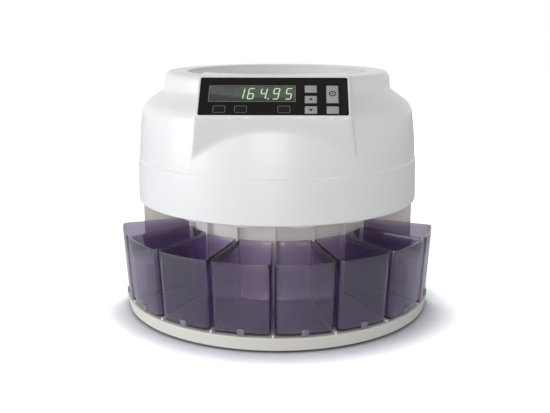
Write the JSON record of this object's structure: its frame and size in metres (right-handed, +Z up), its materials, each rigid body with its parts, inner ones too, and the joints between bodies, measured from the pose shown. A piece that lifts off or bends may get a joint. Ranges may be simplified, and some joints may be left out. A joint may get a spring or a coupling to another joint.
{
  "type": "coin sorting machine",
  "caption": "Desktop coin sorting machine: round white housing with hopper, sloped display and key panel, hinged cover, spinning disc and a fan of clear violet coin drawers.",
  "frame": {"origin": "centre of the overall box at the level the feet stand on", "axes": "+Z up, -Y towards the drawers and display, +X to the right seen from the front"},
  "size_m": [0.3536, 0.3303, 0.2681],
  "materials": {
    "housing_white": "satin, warm white",
    "cover_white": "satin, cool white",
    "rubber": "matt black",
    "steel": "brushed",
    "alloy": "turned",
    "brass_pins": "bright",
    "bronze": "sintered bronze",
    "black_plastic": "fine texture",
    "panel_black": "satin film",
    "display_glass": "tinted, clear face",
    "key_black": "satin film",
    "key_grey": "satin",
    "circuit_board": "lacquered board",
    "smoke_plastic": "clear violet smoke tint, polished"
  },
  "bodies": {
    "base": {"base_tray": "housing_white", "lower_housing": "housing_white", "deck_frame": "housing_white", "coin_chutes": "housing_white", "guide_ring": "housing_white", "rubber_feet": "rubber", "drive_belt": "rubber", "base_screws": "steel", "deck_screws": "steel", "hinge_pins": "steel", "sorting_plate": "steel", "motor_bracket": "steel", "motor": "steel", "inlet_pins": "brass_pins", "coin_sensors": "black_plastic", "power_inlet": "black_plastic", "rocker_frame": "black_plastic", "data_port": "black_plastic", "upper_bush": "bronze", "lower_bush": "bronze", "main_board": "circuit_board", "power_supply": "steel"},
    "cover": {"top_cover": "cover_white", "hopper_funnel": "cover_white", "control_panel": "panel_black", "display_window": "display_glass", "display_module": "black_plastic", "key_switches": "black_plastic", "panel_board": "circuit_board", "board_screws": "steel"},
    "rotor": {"coin_disc": "alloy", "sweeper_ring": "rubber", "drive_shaft": "steel", "driven_pulley": "black_plastic"},
    "motor_shaft": {"motor_pulley": "alloy"},
    "rocker": {"power_rocker": "black_plastic"},
    "drawer_1": {"drawer_1": "smoke_plastic"},
    "drawer_2": {"drawer_2": "smoke_plastic"},
    "drawer_3": {"drawer_3": "smoke_plastic"},
    "drawer_4": {"drawer_4": "smoke_plastic"},
    "drawer_5": {"drawer_5": "smoke_plastic"},
    "drawer_6": {"drawer_6": "smoke_plastic"},
    "drawer_7": {"drawer_7": "smoke_plastic"},
    "drawer_8": {"drawer_8": "smoke_plastic"},
    "key_black_left": {"key_black_left": "key_black"},
    "key_black_middle": {"key_black_middle": "key_black"},
    "key_black_right": {"key_black_right": "key_black"},
    "key_mode": {"key_mode": "key_grey"},
    "key_up": {"key_up": "key_grey"},
    "key_down": {"key_down": "key_grey"},
    "key_start": {"key_start": "key_grey"},
    "key_clear": {"key_clear": "key_grey"}
  },
  "joints": [
    {"name": "cover_hinge", "type": "hinge", "parent": "base", "child": "cover", "pos_m": [0, 0.1619, 0.122], "axis": [-1, 0, 0], "range_deg": [0, 65]},
    {"name": "disc_spin", "type": "hinge", "parent": "base", "child": "rotor", "pos_m": [0, 0.0125, 0.134], "axis": [0, 0, 1], "continuous": true},
    {"name": "motor_spin", "type": "hinge", "parent": "base", "child": "motor_shaft", "pos_m": [0, 0.0875, 0.101], "axis": [0, 0, 1], "continuous": true},
    {"name": "power_switch", "type": "hinge", "parent": "base", "child": "rocker", "pos_m": [0.002, 0.1526, 0.046], "axis": [1, 0, 0], "range_deg": [0, 16]},
    {"name": "drawer_1_slide", "type": "slide", "parent": "base", "child": "drawer_1", "axis": [-0.876, -0.4822, 0], "range_m": [0, 0.09]},
    {"name": "drawer_2_slide", "type": "slide", "parent": "base", "child": "drawer_2", "axis": [-0.6795, -0.7337, 0], "range_m": [0, 0.09]},
    {"name": "drawer_3_slide", "type": "slide", "parent": "base", "child": "drawer_3", "axis": [-0.4282, -0.9037, 0], "range_m": [0, 0.09]},
    {"name": "drawer_4_slide", "type": "slide", "parent": "base", "child": "drawer_4", "axis": [-0.1461, -0.9893, 0], "range_m": [0, 0.09]},
    {"name": "drawer_5_slide", "type": "slide", "parent": "base", "child": "drawer_5", "axis": [0.1461, -0.9893, 0], "range_m": [0, 0.09]},
    {"name": "drawer_6_slide", "type": "slide", "parent": "base", "child": "drawer_6", "axis": [0.4282, -0.9037, 0], "range_m": [0, 0.09]},
    {"name": "drawer_7_slide", "type": "slide", "parent": "base", "child": "drawer_7", "axis": [0.6795, -0.7337, 0], "range_m": [0, 0.09]},
    {"name": "drawer_8_slide", "type": "slide", "parent": "base", "child": "drawer_8", "axis": [0.876, -0.4822, 0], "range_m": [0, 0.09]},
    {"name": "key_black_left_press", "type": "slide", "parent": "cover", "child": "key_black_left", "axis": [0, 0.658, -0.753], "range_m": [0, 0.0006], "stiffness_N_per_m": 400, "springref_m": -0.0005},
    {"name": "key_black_middle_press", "type": "slide", "parent": "cover", "child": "key_black_middle", "axis": [0, 0.658, -0.753], "range_m": [0, 0.0006], "stiffness_N_per_m": 400, "springref_m": -0.0005},
    {"name": "key_black_right_press", "type": "slide", "parent": "cover", "child": "key_black_right", "axis": [0, 0.658, -0.753], "range_m": [0, 0.0006], "stiffness_N_per_m": 400, "springref_m": -0.0005},
    {"name": "key_mode_press", "type": "slide", "parent": "cover", "child": "key_mode", "axis": [0, 0.658, -0.753], "range_m": [0, 0.0006], "stiffness_N_per_m": 400, "springref_m": -0.0005},
    {"name": "key_up_press", "type": "slide", "parent": "cover", "child": "key_up", "axis": [0, 0.658, -0.753], "range_m": [0, 0.0006], "stiffness_N_per_m": 400, "springref_m": -0.0005},
    {"name": "key_down_press", "type": "slide", "parent": "cover", "child": "key_down", "axis": [0, 0.658, -0.753], "range_m": [0, 0.0006], "stiffness_N_per_m": 400, "springref_m": -0.0005},
    {"name": "key_start_press", "type": "slide", "parent": "cover", "child": "key_start", "axis": [0, 0.658, -0.753], "range_m": [0, 0.0006], "stiffness_N_per_m": 400, "springref_m": -0.0005},
    {"name": "key_clear_press", "type": "slide", "parent": "cover", "child": "key_clear", "axis": [0, 0.658, -0.753], "range_m": [0, 0.0006], "stiffness_N_per_m": 400, "springref_m": -0.0005}
  ],
  "couplings": [
    {"joint": "motor_spin", "follows": "disc_spin", "ratio": 4}
  ]
}
